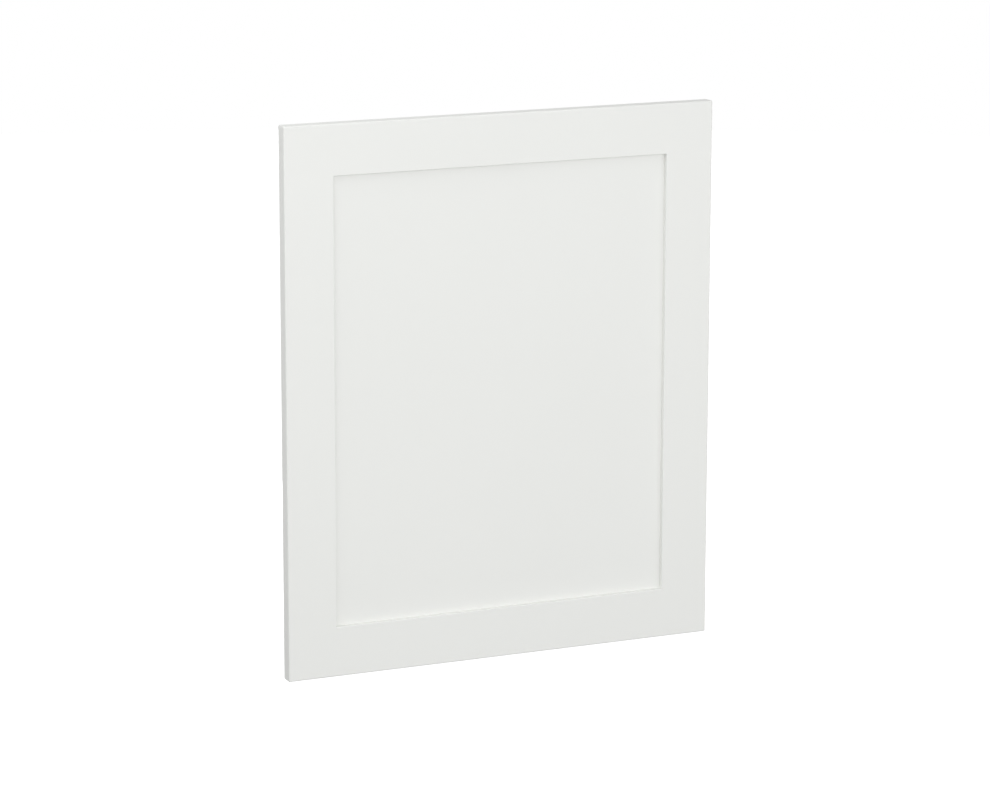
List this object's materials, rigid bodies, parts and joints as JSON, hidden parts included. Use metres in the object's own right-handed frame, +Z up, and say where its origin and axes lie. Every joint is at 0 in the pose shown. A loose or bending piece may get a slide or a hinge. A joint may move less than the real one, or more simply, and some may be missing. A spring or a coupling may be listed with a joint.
{
  "type": "kitchen cabinet door",
  "caption": "Painted shaker door: a square-edged frame of stiles and rails round a flat recessed panel, bored in the back of one stile for concealed cup hinges.",
  "frame": {"origin": "the middle of the door, halfway across its width, its height and its thickness", "axes": "+Z up the stiles, +X to the right as seen from the front, the front face towards -Y and the hinge boring towards +Y"},
  "size_m": [0.596, 0.019, 0.716],
  "materials": {
    "painted_frame": "satin white paint on fibreboard",
    "painted_panel": "satin white paint on fibreboard",
    "beech_dowel": "bare turned and fluted beech"
  },
  "bodies": {
    "root": {"left_stile": "painted_frame", "right_stile": "painted_frame", "top_rail": "painted_frame", "bottom_rail": "painted_frame", "centre_panel": "painted_panel", "dowel_top_left_outer": "beech_dowel", "dowel_top_left_inner": "beech_dowel", "dowel_top_right_outer": "beech_dowel", "dowel_top_right_inner": "beech_dowel", "dowel_bottom_left_outer": "beech_dowel", "dowel_bottom_left_inner": "beech_dowel", "dowel_bottom_right_outer": "beech_dowel", "dowel_bottom_right_inner": "beech_dowel"}
  },
  "joints": []
}
